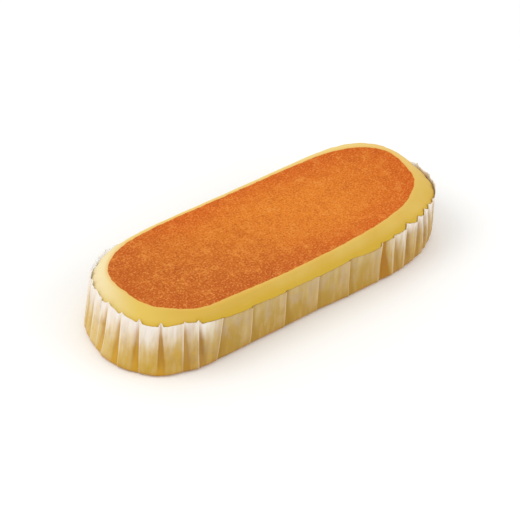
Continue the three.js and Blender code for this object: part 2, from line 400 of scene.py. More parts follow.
def foldPaperTree():
    tree = bpy.data.node_groups.new("foldPaper", "GeometryNodeTree")
    sockets = {}

    def addInput(name, kind):
        sockets[name] = tree.interface.new_socket(name, in_out="INPUT", socket_type="NodeSocket" + kind)

    addInput("Folds", "Geometry")
    addInput("Outline", "Object")
    addInput("Paper", "Material")
    for name in list(paperCase) + list(wallInputs):
        if name[0].isupper():
            addInput(name, "Int" if name.endswith("Steps") else "Float")
    tree.interface.new_socket("Case", in_out="OUTPUT", socket_type="NodeSocketGeometry")

    w = Wires(tree)
    given = w.node("NodeGroupInput").outputs
    shape = foldShape

    # one panel of paper for each fold, a unit square until it is laid on the outline
    panel = w.node("GeometryNodeMeshGrid")
    panel.inputs["Size X"].default_value = 1.0
    panel.inputs["Size Y"].default_value = 1.0
    w.feed(panel.inputs["Vertices X"], given["Across Steps"])
    w.feed(panel.inputs["Vertices Y"], given["Rise Steps"])
    shifted = w.node("ShaderNodeVectorMath", operation="ADD")
    w.feed(shifted.inputs[0], w.node("GeometryNodeInputPosition").outputs[0])
    shifted.inputs[1].default_value = (0.5, 0.5, 0.0)
    squares = w.store(panel.outputs["Mesh"], "cell", shifted.outputs[0], "FLOAT_VECTOR")
    spread = w.node("GeometryNodeInstanceOnPoints")
    w.feed(spread.inputs["Points"], given["Folds"])
    w.feed(spread.inputs["Instance"], squares)
    sheet = w.node("GeometryNodeRealizeInstances")
    w.feed(sheet.inputs[0], spread.outputs[0])

    # where each point lies between the panel's two fold lines, which may slant
    cell = w.named("cell", "FLOAT_VECTOR")
    across, rise, _ = w.parts(cell)
    even = w.minus(0.5, w.times(w.sums("COSINE", w.times(across, math.pi)), 0.5))
    middle = w.minus(rise, 0.5)
    start = w.plus(w.named("along"), w.times(w.named("slantA"), middle))
    span = w.plus(w.named("gap"), w.times(w.minus(w.named("slantB"), w.named("slantA")), middle))
    fromA = w.times(even, span)
    fromB = w.minus(span, fromA)
    distance = w.plus(start, fromA)

    # the outline under each point
    outline = w.node("GeometryNodeObjectInfo")
    w.feed(outline.inputs["Object"], given["Outline"])
    sample = w.node("GeometryNodeSampleCurve", mode="LENGTH", use_all_curves=True)
    w.feed(sample.inputs["Curves"], outline.outputs["Geometry"])
    w.feed(sample.inputs["Length"], w.times(w.sums("WRAP", distance, outlineLength, 0.0), mm))
    px, py, _ = w.parts(sample.outputs["Position"])
    tx, ty, _ = w.parts(sample.outputs["Tangent"])
    offX = w.times(w.sums("ABSOLUTE", px), 1 / mm)
    usual = w.ease(offX, wall["rimRiseStart"], wall["rimRiseEnd"],
                   given["Rim At Sides"], given["Rim At Ends"])
    outX, outY = w.times(px, 1 / mm), w.times(py, 1 / mm)
    waveX, waveY = (w.sums("DIVIDE", part, given["Rim Wave Size"]) for part in (outX, outY))
    wave = w.minus(w.noise(w.vector(waveX, waveY, given["Seed"]), 1.0, shape["waveDetail"]), 0.5)
    rim = w.plus(usual, w.named("rimA"), w.times(w.minus(w.named("rimB"), w.named("rimA")), even),
                 w.times(wave, given["Rim Wave"], 2.0))
    lean = w.plus(given["Lean At Ends"],
                  w.times(w.minus(given["Lean At Sides"], given["Lean At Ends"]), w.times(tx, tx)))
    lean = w.minus(lean, w.ease(outX, *wall["rightLeanSpan"], 0.0, wall["rightLeanLess"]))
    foot = w.plus(w.named("footA"), w.times(w.minus(w.named("footB"), w.named("footA")), even))

    # rounded base, then straight up to the rim
    roundRows = shape["roundRows"]
    angle = w.times(w.sums("MINIMUM", w.sums("DIVIDE", rise, roundRows), 1.0), math.pi / 2)
    low = w.times(given["Base Round"], w.minus(1.0, w.sums("COSINE", angle)))
    rounding = w.times(given["Base Round"], w.minus(1.0, w.sums("SINE", angle)))
    up = w.sums("MAXIMUM", w.sums("DIVIDE", w.minus(rise, roundRows), 1 - roundRows), 0.0)
    height = w.plus(low, w.times(w.minus(rim, given["Base Round"]), up))
    share = w.sums("DIVIDE", height, rim)

    # each fold's own cross section, from both of its sides
    width = w.plus(given["Tuck Width At Floor"],
                   w.times(w.minus(given["Tuck Width At Rim"], given["Tuck Width At Floor"]), share))
    depthShare = w.ease(share, *shape["deepening"])
    closing = w.minus(1.0, w.times(w.ease(share, *shape["closing"]), given["Rim Closing"]))
    topShare = w.ease(share, *shape["upperHalf"])
    valley, crest, points, edge, dark = 0.0, 0.0, 0.0, 0.0, 0.0
    for side, away in (("A", fromA), ("B", fromB)):
        strip = w.named("strip" + side)
        open_ = w.plus(strip, w.times(width, w.named("open" + side)))
        floorEnd = w.plus(open_, w.named("slope" + side))
        sunk = w.ease(away, strip, w.plus(strip, shape["stripEdge"]))
        sunk = w.sums("MAXIMUM", sunk, w.named("both" + side))
        floor = w.times(sunk, w.minus(1.0, w.ease(away, open_, floorEnd)))
        closed = w.minus(1.0, w.times(w.minus(1.0, closing), w.named("close" + side)))
        valley = w.plus(valley, w.times(w.named("depth" + side), floor, closed))
        soft = w.minus(1.0, w.ease(away, open_, w.plus(open_, shape["shadeReach"])))
        soft = w.times(soft, w.ease(away, strip, w.plus(strip, shape["shadeEdge"])), shape["shadeShare"])
        dark = w.plus(dark, w.times(w.named("shade" + side), w.sums("MAXIMUM", floor, soft)))
        ridgeFall = w.ease(away, floorEnd, w.plus(floorEnd, shape["ridgeReach"]))
        ridge = w.times(w.ease(away, open_, floorEnd), w.minus(1.0, ridgeFall))
        crest = w.plus(crest, w.times(w.named("depth" + side), ridge, topShare))
        peakFall = w.ease(away, *shape["peakSpan"])
        points = w.plus(points, w.times(w.named("peak" + side), w.minus(1.0, peakFall)))
        edgeFall = w.ease(away, w.sums("MINIMUM", strip, shape["edgeStart"]), w.named("reach" + side))
        edge = w.plus(edge, w.times(w.named("edge" + side), w.minus(1.0, edgeFall)))
    lapStart = w.named("stripA")
    lapEdge = w.plus(lapStart, shape["lapEdge"])
    step = w.times(w.named("lapA"), w.ease(fromA, lapStart, lapEdge),
                   w.minus(1.0, w.ease(fromA, lapEdge, w.times(span, shape["lapReach"]))))
    # the strip of oil and painted shade beside a lap is wider towards the floor
    lapWidth = w.ease(share, 0.0, 1.0, *shape["lapStrip"])
    lapFade = w.plus(lapEdge, w.times(w.named("lapShadeA"), lapWidth))
    lapGone = w.plus(lapFade, w.ease(share, 0.0, 1.0, *shape["lapSoftEdge"]))
    lapOilAndShade = w.times(w.named("lapShadeA"), w.ease(fromA, lapStart, lapEdge),
                      w.minus(1.0, w.ease(fromA, lapFade, lapGone)))
    arch = w.sums("SINE", w.times(even, math.pi))

    # soft crinkles that run up the wall
    streak = w.vector(w.times(outX, shape["crinkleAcross"]), w.times(outY, shape["crinkleAcross"]),
                      w.plus(w.times(height, shape["crinkleUp"]), given["Seed"]))
    crinkle = w.noise(streak, 1.0, shape["crinkleDetail"])
    crinkle = w.times(w.minus(crinkle, 0.5), given["Crinkle"], 2.0)

    offset = w.plus(
        w.times(valley, given["Tuck Depth"], depthShare, -1.0),
        w.times(crest, given["Crest Height"]),
        w.times(edge, given["Edge Height"]),
        w.times(step, given["Lap Step"], depthShare, closing, -1.0),
        w.times(arch, given["Panel Swell"], topShare),
        w.times(crinkle, depthShare),
        w.times(rounding, -1.0),
        w.times(lean, share, -1.0),
        w.times(foot, w.ease(share, *shape["footSpan"]), -1.0),
    )
    lift = w.times(points, w.ease(share, *shape["peakRise"]))
    out = w.times(offset, mm)
    place = w.vector(w.plus(px, w.times(ty, out)), w.minus(py, w.times(tx, out)),
                     w.times(w.plus(height, lift), mm))

    # "step" holds the strip of oil and painted shade beside each lap
    kept = {"rise": share, "high": height, "valley": dark, "step": lapOilAndShade, "edge": edge, "crest": crest}
    kept.update({"around": distance, "inset": w.times(offset, -1.0), "across": even})
    stored = sheet.outputs[0]
    for name, value in kept.items():
        stored = w.store(stored, name, value)
    move = w.node("GeometryNodeSetPosition")
    w.feed(move.inputs["Geometry"], stored)
    w.feed(move.inputs["Position"], place)
    joined = w.node("GeometryNodeMergeByDistance")
    w.feed(joined.inputs["Geometry"], move.outputs[0])
    joined.inputs["Distance"].default_value = shape["mergeWithin"] * mm
    w.finish(joined.outputs[0], given["Paper"])
    return tree, sockets


def outlineCurve():
    data = bpy.data.curves.new("caseOutline", "CURVE")
    data.dimensions = "3D"
    spline = data.splines.new("POLY")
    spline.points.add(len(outlinePoints) - 1)
    flat = np.zeros((len(outlinePoints), 4))
    flat[:, :2] = outlinePoints * mm
    flat[:, 3] = 1.0
    spline.points.foreach_set("co", flat.ravel())
    spline.use_cyclic_u = True
    curve = bpy.data.objects.new("caseOutline", data)
    bpy.context.scene.collection.objects.link(curve)
    return curve


def addObject(name, mesh):
    piece = bpy.data.objects.new(name, mesh)
    bpy.context.scene.collection.objects.link(piece)
    return piece


def setFloats(mesh, name, values):
    layer = mesh.attributes.new(name, "FLOAT", "POINT")
    layer.data.foreach_set("value", np.asarray(values, dtype=np.float32))


def foldLineMesh():
    # one point for each fold, with the numbers of its panel's left side, A, and right side, B
    for f in folds:
        f["close"] = float(not folding["looseFrom"] < f["along"] < folding["looseTo"])
    ahead = folds[1:] + [dict(folds[0], along=folds[0]["along"] + outlineLength)]
    data = {"along": [f["along"] for f in folds]}
    data["gap"] = [g["along"] - f["along"] for f, g in zip(folds, ahead)]
    data["rimA"] = [f["rimAfter"] for f in folds]
    data["rimB"] = [f["rimBefore"] for f in ahead]
    for letter, towards, line in (("A", 1, folds), ("B", -1, ahead)):
        tucks = [f["kind"] == "tuck" for f in line]
        opens = [(1 + f["side"] * towards) / 2 for f in line]
        wedge = [tuck * (share > 0) for tuck, share in zip(tucks, opens)]
        for name in ("slant", "foot", "close"):
            data[name + letter] = [f[name] for f in line]
        data["open" + letter] = opens
        data["both" + letter] = [float(share == 0.5) for share in opens]
        data["depth" + letter] = [f["power"] * on for on, f in zip(wedge, line)]
        data["shade" + letter] = [f["shade"] * on for on, f in zip(wedge, line)]
        data["slope" + letter] = [paperCase["slope" if share == 1 else "sharpSlope"] for share in opens]
        data["strip" + letter] = [f["strip"] * (share == 1) for share, f in zip(opens, line)]
        data["peak" + letter] = [f["peak"] for f in line]
        data["lap" + letter] = [f["power"] * (not tuck) for tuck, f in zip(tucks, line)]
        data["lapShade" + letter] = [f["shade"] * (not tuck) for tuck, f in zip(tucks, line)]
        data["edge" + letter] = [float(f["side"] != 0) for f in line]
        # the edge falls away at once into a valley, and slowly on the panel's side
        near, far = paperCase["edgeReachIn"], paperCase["edgeReach"]
        data["reach" + letter] = [near + f["strip"] if share == 1 else far for share, f in zip(opens, line)]
    points = bpy.data.meshes.new("foldLines")
    points.from_pydata([(f["along"] * mm, 0.0, 0.0) for f in folds], [], [])
    for name, values in data.items():
        setFloats(points, name, values)
    return points


def getFloats(mesh, name):
    values = np.zeros(len(mesh.vertices), dtype=np.float32)
    mesh.attributes[name].data.foreach_get("value", values)
    return values


press = {
    "alongSteps": 732,
    "rows": 25,
    "holeSteps": 3,
    "reachSteps": 1,
    "smoothing": 2,
    # how much further out a row may lie than the one above it
    "fall": 0.15,
    "gap": 0.03,
    "floorWithin": 0.05,
}


def pressedRoom(around, high, inset):
    # how far in the sponge has to stay behind the paper, in rows of 1 mm up and even steps along
    def beside(grid):
        return np.maximum(np.roll(grid, 1, axis=1), np.roll(grid, -1, axis=1))

    count, rows = press["alongSteps"], press["rows"]
    room = np.full((rows, count), -np.inf)
    column = np.mod(around / outlineLength * count, count).astype(int) % count
    row = np.clip(np.round(high), 0, rows - 1).astype(int)
    np.maximum.at(room, (row, column), inset)
    for _ in range(press["holeSteps"]):
        room = np.where(np.isfinite(room), room, beside(room))
    for r in range(1, rows):  # over the rim
        room[r] = np.where(np.isfinite(room[r]), room[r], room[r - 1])
    for _ in range(press["reachSteps"]):
        room = np.maximum(room, beside(room))
    room[:-1] = np.maximum(room[:-1], room[1:] - press["fall"])
    for _ in range(press["smoothing"]):
        room = room * 0.5 + (np.roll(room, 1, axis=1) + np.roll(room, -1, axis=1)) * 0.25
    return room + paperCase["thickness"] + press["gap"]


def makePaperCase(material):
    piece = addObject("paperCaseFolds", foldLineMesh())
    curve = outlineCurve()
    tree, sockets = foldPaperTree()
    modifier = piece.modifiers.new("folding", "NODES")
    modifier.node_group = tree
    settings = dict(paperCase, Outline=curve, Paper=material)
    settings.update({name: wall[key] for name, key in wallInputs.items()})
    for name, value in settings.items():
        if name in sockets:
            modifier[sockets[name].identifier] = value
    dg = bpy.context.evaluated_depsgraph_get()
    mesh = bpy.data.meshes.new_from_object(piece.evaluated_get(dg))
    bpy.data.objects.remove(piece)
    bpy.data.objects.remove(curve)
    pressed = pressedRoom(*(getFloats(mesh, name) for name in ("around", "high", "inset")))

    def onFloor(part):
        return all(v.co.z < press["floorWithin"] * mm for v in part.verts)

    # close the floor, then give the sheet its thickness inwards
    form = bmesh.new()
    form.from_mesh(mesh)
    bottom = [edge for edge in form.edges if edge.is_boundary and onFloor(edge)]
    made = bmesh.ops.contextual_create(form, geom=bottom)
    bmesh.ops.triangulate(form, faces=made["faces"])
    bmesh.ops.recalc_face_normals(form, faces=form.faces)
    if sum(face.normal.z for face in form.faces if onFloor(face)) > 0:
        bmesh.ops.reverse_faces(form, faces=form.faces)
    for face in form.faces:
        face.smooth = True
    form.to_mesh(mesh)
    form.free()
    case = addObject("paperCase", mesh)
    thick = case.modifiers.new("thickness", "SOLIDIFY")
    thick.thickness = paperCase["thickness"] * mm
    thick.offset = -1.0
    thick.use_even_offset = False
    dg = bpy.context.evaluated_depsgraph_get()
    solid = bpy.data.meshes.new_from_object(case.evaluated_get(dg))
    # the sheet's inner skin comes after the outer one
    setFloats(solid, "inside", np.arange(len(solid.vertices)) >= len(mesh.vertices))
    case.modifiers.clear()
    case.data = solid
    return case, pressed


sponge = {
    "height": cakeHigh.z / mm,
    # at even steps along: width of the pale shoulder from the outline in to the browned edge, how far
    # its foot lies below the rim, and how full its curve is
    "widths": [2.9, 3.3, 4.6, 7.2, 9.5, 8.7, 6.4, 6.2, 5.4, 4.8, 4.7,
               4.7, 4.5, 4.6, 5.7, 7.3, 8.9, 10.3, 9.0, 4.9, 3.9, 3.0],
    "drops": [1.2, 1.2, 1.2, 1.2, 1.8, 2.6, 2.5, 2.4, 1.6, 1.2, 1.2,
              1.2, 1.2, 1.2, 3.0, 4.4, 3.6, 1.8, 1.3, 1.2, 1.2, 1.2],
    "powers": [2.5, 2.5, 2.5, 2.4, 2.1, 1.8, 2.7, 3.2, 2.5, 2.7, 2.6,
               2.5, 2.5, 2.4, 1.8, 1.6, 1.7, 2.0, 2.3, 2.5, 2.5, 2.5],
    "floor": 0.3,
    "columns": 720,
    "baseRows": 5,
    "sideRows": 9,
    "shoulderRows": 24,
    "crustRows": 56,
    # "browned" is the distance in from the browned edge, and this on the sides. The relief sets in
    # over a span of it.
    "brownedAtSides": -9.0,
    "reliefSpan": (-8.0, -5.0),
    "mergeWithin": 0.002,
    "sliverWithin": 0.0005,
    "Relief Height": 0.12,
    "Relief Size": 9.0,
    "Grain Height": 0.05,
    "Grain Size": 1.1,
    "Seed": 8.0,
}


def aroundCake(name, along):
    # a smooth curve through numbers that are given at even steps along
    given = np.array(sponge[name])
    place = np.mod(along / outlineLength * len(given), len(given))
    first = place.astype(int)
    t = place - first
    a, b, c, d = (given[(first + step) % len(given)] for step in (-1, 0, 1, 2))
    return b + 0.5 * t * (c - a + t * (2 * a - 5 * b + 4 * c - d + t * (3 * (b - c) + d - a)))


def makeSponge(material, pressed):
    columns = sponge["columns"]
    along = np.arange(columns) * outlineLength / columns
    point, normal = placeAt(along)
    top = sponge["height"]

    def roomAt(z):
        # the pressed grid, read between its rows and columns
        x = along / outlineLength * pressed.shape[1] - 0.5
        y = np.clip(z, 0, pressed.shape[0] - 1.001)
        c, r = np.floor(x).astype(int), np.floor(y).astype(int)
        u, v = x - c, y - r
        c0, c1 = c % pressed.shape[1], (c + 1) % pressed.shape[1]
        low = pressed[r, c0] * (1 - u) + pressed[r, c1] * u
        high = pressed[r + 1, c0] * (1 - u) + pressed[r + 1, c1] * u
        return low * (1 - v) + high * v

    def sideRing(z):
        z = np.broadcast_to(z, columns)
        return np.column_stack([point - normal * roomAt(z)[:, None], z])

    foot = sideRing(rimHeight(point[:, 0]) - aroundCake("drops", along))
    spine = oval["halfLength"] - oval["halfWidth"]
    # both sides end in the same points along the middle, so that the top is closed
    middle = np.clip(point[:, 0], -spine, spine)
    facing = middle[(columns // 2 - np.arange(columns)) % columns]
    root = np.column_stack([(middle + facing) / 2, np.zeros(columns)])
    inwards = root - point
    inwards /= np.linalg.norm(inwards, axis=1, keepdims=True)
    edge = point + inwards * aroundCake("widths", along)[:, None]

    rings, browned, below = [], [], []

    def addRing(ring, depth, foldShare):
        rings.append(ring)
        browned.append(np.broadcast_to(depth, columns))
        below.append(np.broadcast_to(foldShare, columns))

    baseTop = sponge["floor"] + wall["baseRound"]
    for step in np.linspace(0, 1, sponge["baseRows"]):
        turned = 1 - math.cos(step * math.pi / 2)
        ring = sideRing(sponge["floor"] + wall["baseRound"] * turned)
        addRing(ring, sponge["brownedAtSides"], 1.0)
    for step in range(1, sponge["sideRows"]):
        ring = sideRing(baseTop + (foot[:, 2] - baseTop) * step / sponge["sideRows"])
        addRing(ring, sponge["brownedAtSides"], 1.0)
    across = np.linalg.norm(foot[:, :2] - edge, axis=1)
    power = 2 / aroundCake("powers", along)
    for angle in np.linspace(0, math.pi / 2, sponge["shoulderRows"]):
        out, up = max(math.cos(angle), 0) ** power, math.sin(angle) ** power
        flat = edge + (foot[:, :2] - edge) * out[:, None]
        ring = np.column_stack([flat, foot[:, 2] + (top - foot[:, 2]) * up])
        addRing(ring, -np.hypot(across * out, (top - foot[:, 2]) * (1 - up)), 1 - up)
    reach = np.linalg.norm(edge - root, axis=1)
    for share in np.linspace(1, 0, sponge["crustRows"] + 1)[1:]:
        ring = np.column_stack([root + (edge - root) * share, np.full(columns, top)])
        addRing(ring, reach * (1 - share), 0.0)

    mesh = bpy.data.meshes.new("sponge")
    verts = np.concatenate(rings) * mm
    faces = []
    for r in range(len(rings) - 1):
        for c in range(columns):
            d = (c + 1) % columns
            faces.append((r * columns + c, r * columns + d, (r + 1) * columns + d, (r + 1) * columns + c))
    faces.append(tuple(range(columns - 1, -1, -1)))
    mesh.from_pydata(verts.tolist(), [], faces)
    setFloats(mesh, "browned", np.concatenate(browned))
    setFloats(mesh, "below", np.concatenate(below))
    form = bmesh.new()
    form.from_mesh(mesh)
    bmesh.ops.remove_doubles(form, verts=form.verts, dist=sponge["mergeWithin"] * mm)
    bmesh.ops.dissolve_degenerate(form, edges=form.edges, dist=sponge["sliverWithin"] * mm)
    bmesh.ops.triangulate(form, faces=[f for f in form.faces if len(f.verts) > 4])
    for face in form.faces:
        face.smooth = True
    form.to_mesh(mesh)
    form.free()
    piece = addObject("spongeCake", mesh)
    tree, sockets = riseTree()
    modifier = piece.modifiers.new("rising", "NODES")
    modifier.node_group = tree
    for name, value in dict(sponge, Sponge=material).items():
        if name in sockets:
            modifier[sockets[name].identifier] = value
    dg = bpy.context.evaluated_depsgraph_get()
    risen = bpy.data.meshes.new_from_object(piece.evaluated_get(dg))
    piece.modifiers.clear()
    piece.data = risen
    return piece


def riseTree():
    # low relief of the baked top and shoulder, which sinks in and never swells out
    tree = bpy.data.node_groups.new("risenSurface", "GeometryNodeTree")
    sockets = {}
    kinds = {"Loft": "Geometry", "Sponge": "Material"}
    for name in ("Loft", "Relief Height", "Relief Size", "Grain Height", "Grain Size", "Seed", "Sponge"):
        kind = "NodeSocket" + kinds.get(name, "Float")
        sockets[name] = tree.interface.new_socket(name, in_out="INPUT", socket_type=kind)
    tree.interface.new_socket("Cake", in_out="OUTPUT", socket_type="NodeSocketGeometry")
    w = Wires(tree)
    given = w.node("NodeGroupInput").outputs
    x, y, z = w.parts(w.node("GeometryNodeInputPosition").outputs[0])
    open_ = w.ease(w.named("browned"), *sponge["reliefSpan"])

    def relief(size, height, detail):
        scaled = [w.sums("DIVIDE", w.times(part, 1 / mm), size) for part in (x, y, z)]
        spot = w.vector(scaled[0], scaled[1], w.plus(scaled[2], given["Seed"]))
        return w.times(w.noise(spot, 1.0, detail), height)

    sunk = w.plus(relief(given["Relief Size"], given["Relief Height"], 1.0),
                  relief(given["Grain Size"], given["Grain Height"], 1.0))
    along = w.node("ShaderNodeVectorMath", operation="SCALE")
    w.feed(along.inputs[0], w.node("GeometryNodeInputNormal").outputs[0])
    w.feed(along.inputs["Scale"], w.times(sunk, open_, -mm))
    move = w.node("GeometryNodeSetPosition")
    w.feed(move.inputs["Geometry"], given["Loft"])
    w.feed(move.inputs["Offset"], along.outputs[0])
    w.finish(move.outputs[0], given["Sponge"])
    return tree, sockets


def newMaterial(name):
    material = bpy.data.materials.new(name)
    material.use_nodes = True
    w = Wires(material.node_tree)
    shader = next(n for n in material.node_tree.nodes if n.type == "BSDF_PRINCIPLED")
    return material, w, shader


def attribute(w, name):
    return w.node("ShaderNodeAttribute", attribute_name=name).outputs["Fac"]


paperLook = {
    # noises that are stretched up the wall: size in millimetres, squeeze, seed
    "broad": (5.0, 0.35, 7.0),
    "narrow": (1.6, 0.15, 3.0),
    "blotch": (7.0, 0.9, 12.0),
    "stains": (4.0, 0.6, 21.0),
    "oil": (3.6, 0.7, 33.0),
    # spans along x and y, in metres
    "middleX": 0.002,
    "ends": (0.033, 0.052),
    "leftEnd": (-0.052, -0.070),
    "rightSide": (0.024, 0.034),
    "farSide": (-0.004, 0.004),
    # oily paper lies on the sponge: ochre low down, tan higher up, and whiter at the two ends
    "climb": (0.08, 0.9),
    "climbBlotch": 0.8,
    "climbBroad": 0.4,
    "lowBlotch": 0.2,
    "sideTones": ("climb", "b48c36", "be9f5c"),
    "rightTones": ("climb", "b9934c", "cbb07c"),
    "leftTones": ("climb", "c69f3c", "e0c48c"),
    # free paper at the rim is white, and runs down along each fold's edge
    "whiteBroad": 0.8,
    "whiteNarrow": 0.45,
    "whiteEdge": 0.16,
    "whiteCrest": 0.12,
    "whiteStart": (0.52, 0.34),
    "whiteSpan": 0.72,
    "whiteAtSides": 0.06,
    # oil in the valleys, and oil with painted shade in the strips beside the laps
    "valleyEnd": (1.02, 0.74),
    "valleyShare": 0.95,
    "stripGain": 1.15,
    "stripShare": 0.9,
    "freeRise": (0.5, 0.75),
    # tones that lie over it, each with its share and its place
    "layers": (
        # the left tip, and the right half of each side panel, which is lighter as painted light on the
        # panel's slope
        ("ebd59c", 0.6, "leftEnd", ("y", -0.014, 0.004)),
        ("ccae80", 0.45, ("across", 0.5, 1.0), "sides", ("rise", 0.05, 0.35)),
        # streaks, greyer stains, oily spots and a browner foot
        ("d9c69c", 0.2, ("narrow", 0.42, 0.7)),
        ("a98a44", 0.15, ("narrow", 0.58, 0.3)),
        ("baa288", 0.45, ("stains", 0.46, 0.62), ("rise", 0.2, 0.7), ("rise", 1.0, 0.8, 0.4, 1.0)),
        (("atEnds", "b2903a", "cfa643"), 0.45, ("oil", 0.50, 0.64), ("rise", 1.0, 0.5)),
        ("b8782a", 0.6, ("low", 0.14, 0.0)),
        # the white rim, valleys, strips of oil and painted shade beside the laps, and a light line on each
        # fold's edge
        (("pearly", "eee2dc", "f1eadc"), 1.0, "white"),
        (("leftEnd", "a8761e", "ca951e"), 1.0, "deep"),
        (("rightSide", "a57c22", "ac7520"), 1.0, "strip"),
        (("atEnds", "d8bf92", "efe0c8"), 1.0, ("edge", 0.35, 0.95), ("rise", 0.0, 0.7, 0.2, 0.7),
         ("broad", 0.35, 0.65, 0.35, 1.25)),
        # inside the far rim the paper is painted near white: painted light, for light that comes through the
        # thin paper
        ("f6efe8", 1.0, "free", "atEnds"),
    ),
    "glowReach": 2.0,
    "roughness": 0.5,
    "specular": 0.12,
    "grainScale": 2500.0,
    "bumpStrength": 0.2,
    "bumpDepth": 0.1,
    "bumpStreak": 1.5,
    "bumpGrain": 0.3,
}


def addBump(w, shader, look, height):
    relief = w.node("ShaderNodeBump")
    relief.inputs["Strength"].default_value = look["bumpStrength"]
    relief.inputs["Distance"].default_value = look["bumpDepth"] * mm
    w.feed(relief.inputs["Height"], height)
    w.feed(shader.inputs["Normal"], relief.outputs[0])


def paperMaterial():
    material, w, shader = newMaterial("bakingPaper")
    look = paperLook
    v = {name: attribute(w, name) for name in ("rise", "valley", "step", "edge", "crest", "across", "inside")}
    spot = w.node("ShaderNodeTexCoord").outputs["Object"]
    x, v["y"], z = w.parts(spot)

    def around(name, weight):
        return w.times(w.minus(v[name], 0.5), look[weight])

    for name in ("broad", "narrow", "blotch", "stains", "oil"):
        size, squeeze, seed = look[name]
        flat = [w.times(part, 1 / (size * mm)) for part in (x, v["y"])]
        v[name] = w.noise(w.vector(*flat, w.plus(w.times(z, squeeze / (size * mm)), seed)), 1.0, 3.0)

    v["atEnds"] = w.ease(w.sums("ABSOLUTE", w.plus(x, look["middleX"])), *look["ends"])
    v["sides"] = w.minus(1.0, v["atEnds"])
    v["leftEnd"] = w.ease(x, *look["leftEnd"])
    v["rightSide"] = w.ease(x, *look["rightSide"])
    climb = w.plus(v["rise"], around("blotch", "climbBlotch"), around("broad", "climbBroad"))
    v["climb"] = w.ease(climb, *look["climb"])
    v["low"] = w.plus(v["rise"], around("blotch", "lowBlotch"))
    v["pearly"] = w.ease(v["narrow"], 0.3, 0.7)

    reach = w.plus(v["rise"], around("broad", "whiteBroad"), around("narrow", "whiteNarrow"),
                   w.times(v["edge"], look["whiteEdge"]), w.times(v["crest"], look["whiteCrest"]))
    start = w.ease(v["leftEnd"], 0.0, 1.0, *look["whiteStart"])
    v["white"] = w.times(w.ease(reach, start, w.plus(start, look["whiteSpan"])),
                         w.ease(v["atEnds"], 0.0, 1.0, look["whiteAtSides"], 1.0))
    deep = w.times(v["valley"], w.ease(v["rise"], *look["valleyEnd"]), look["valleyShare"])
    v["deep"] = w.sums("MINIMUM", deep, look["valleyShare"])
    v["strip"] = w.sums("MINIMUM", w.times(v["step"], look["stripGain"]), look["stripShare"])
    v["free"] = w.times(w.ease(v["y"], *look["farSide"]), w.ease(v["rise"], *look["freeRise"]), v["inside"])

    side, right, left = (w.tone(v, look[name]) for name in ("sideTones", "rightTones", "leftTones"))
    base = w.mix(v["atEnds"], side, w.mix(v["leftEnd"], right, left))
    w.feed(shader.inputs["Base Color"], w.laid(base, v, look["layers"]))
    # light comes through the free paper of the far rim
    w.feed(shader.inputs["Subsurface Weight"], v["free"])
    shader.inputs["Subsurface Radius"].default_value = (1.0, 1.0, 1.0)
    shader.inputs["Subsurface Scale"].default_value = look["glowReach"] * mm
    shader.inputs["Roughness"].default_value = look["roughness"]
    shader.inputs["Specular IOR Level"].default_value = look["specular"]
    grain = w.noise(spot, look["grainScale"], 2.0)
    height = w.plus(w.times(v["narrow"], look["bumpStreak"]), w.times(grain, look["bumpGrain"]))
    addBump(w, shader, look, height)
    return material


spongeLook = {
    # noises: scale, detail, roughness
    "ragged": (420.0, 4.0, 0.5),
    "cloud": (35.0, 3.0, 0.5),
    "mottle": (260.0, 4.0, 0.6),
    "grain": (1500.0, 3.0, 0.65),
    "soft": (60.0, 3.0, 0.5),
    # round spots: scale, radius, share of the cells that have one
    "lightDots": (800.0, 0.40, 0.3),
    "darkDots": (420.0, 0.30, 0.2),
    # the browned edge, and how far in from it, in millimetres
    "edgeRagged": 0.9,
    "edgeSpan": (-0.15, 0.25),
    "inwardsCloud": 14.0,
    "inwardsSpan": (-2.0, 15.0),
    # the rougher near left part, in metres towards it
    "nearLeftX": -0.75,
    "nearLeftY": -0.9,
    "nearLeftCloud": 0.02,
    "nearLeftSpan": (-0.012, 0.042),
    # the grain is stronger where it is rough, and weaker at the left tip
    "strengthRough": (0.75, 0.9),
    "strengthX": (-0.070, -0.055, 0.65, 1.0),
    # the browned top: redder at its edge and right end, browner where it is rough, with a fine grain
    "topTones": ("inwards", "d0621a", "dd7d24"),
    "topLayers": (
        ("c9590f", 0.5, ("x", 0.025, 0.060)),
        (("inwards", "bc5c1e", "c06420"), 1.0, "rough"),
        ("ea9440", 0.6, ("mottle", 0.50, 0.72), "strength"),
        ("b3521b", 0.45, ("mottle", 0.50, 0.28), "strength"),
        ("ec9a4a", 0.75, ("grain", 0.50, 0.68), "strength"),
        ("a44a18", 0.75, ("grain", 0.50, 0.32), "strength"),
        ("eda45c", 0.35, "lightDots", "rough"),
        ("8f3a10", 0.4, "darkDots", "strength"),
    ),
    # the pale shoulder: palest at the far left end, where light is painted in, and deeper yellow low down by
    # the paper
    "farLeftX": -0.8,
    "farLeftY": 0.6,
    "farLeftSpan": (0.046, 0.070),
    "lowSoft": 0.4,
    "lowSpan": (0.15, 0.75),
    "shoulderTones": ("softened", "dab85f", "d5af50"),
    "shoulderLayers": (
        ("dfc25a", 0.5, ("x", -0.045, -0.062)),
        # paler on the far side: painted light, as if lit from behind
        ("efd588", 1.0, ("y", 0.010, 0.026)),
        # palest at the far left end: painted light
        ("f6e9c4", 1.0, "farLeft"),
        # lighter at the near right end: painted light where the shoulder lies in shade
        ("f0cd84", 0.7, ("x", 0.052, 0.070), ("y", -0.016, 0.004)),
        # darker on the near left side: painted shade
        ("cda440", 0.6, ("x", -0.020, -0.040), ("x", -0.072, -0.056), ("y", -0.008, -0.020)),
        # deeper yellow low down by the paper, paler at the far left end as painted light
        (("farLeft", "cfa932", "e5d286"), 1.0, "low", ("y", 0.018, 0.0), ("x", 0.052, 0.068, 0.8, 0.1)),
        ("e4b75e", 0.5, ("browned", -1.6, -0.2)),
    ),
    "roughness": (0.7, 0.6),
    "specular": 0.08,
    "bumpStrength": 0.35,
    "bumpDepth": 0.12,
    "bumpOnCrust": (0.2, 1.0),
}


